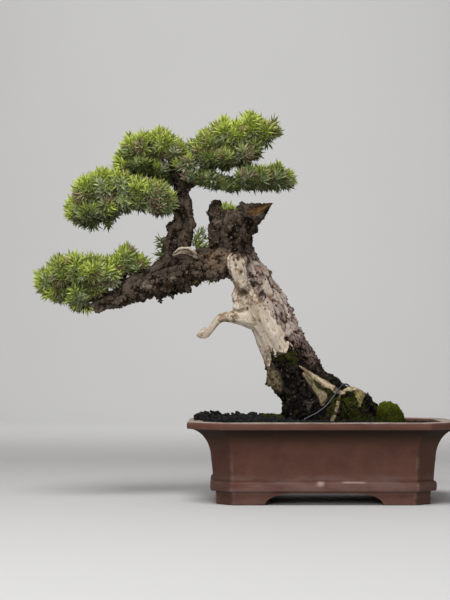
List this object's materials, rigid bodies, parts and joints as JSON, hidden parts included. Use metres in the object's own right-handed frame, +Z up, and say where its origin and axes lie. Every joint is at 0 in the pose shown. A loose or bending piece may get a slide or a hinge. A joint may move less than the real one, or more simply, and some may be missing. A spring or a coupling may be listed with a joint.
{
  "type": "potted bonsai tree",
  "caption": "Old leaning needle conifer with bare deadwood and layered foliage pads, in an unglazed rectangular pot with cut corners, a belt and arched feet.",
  "frame": {"origin": "centre of the bottom of the box round the whole plant, on the surface that the feet stand on", "axes": "+Z up, +X to the viewer's right, away from the side that the tree leans over, and +Y to the back, away from the viewer"},
  "size_m": [0.5268, 0.236, 0.4924],
  "materials": {
    "stoneware": "matte",
    "screen": "matte",
    "soil": "matte",
    "bark": "matte",
    "wire": "satin",
    "moss": "matte",
    "needles": "satin"
  },
  "bodies": {
    "root": {"pot": "stoneware", "drain_screen_1": "screen", "drain_screen_2": "screen", "soil": "soil", "tree": "bark", "tie_wire": "wire", "moss_cushion": "moss", "moss_patch": "moss", "pad_lower": "needles", "pad_left": "needles", "crown_left": "needles", "crown_right": "needles", "pad_right": "needles", "spray_fork_left": "needles", "spray_fork_right": "needles", "spray_stump": "needles", "spray_under_bough": "needles"}
  },
  "joints": []
}
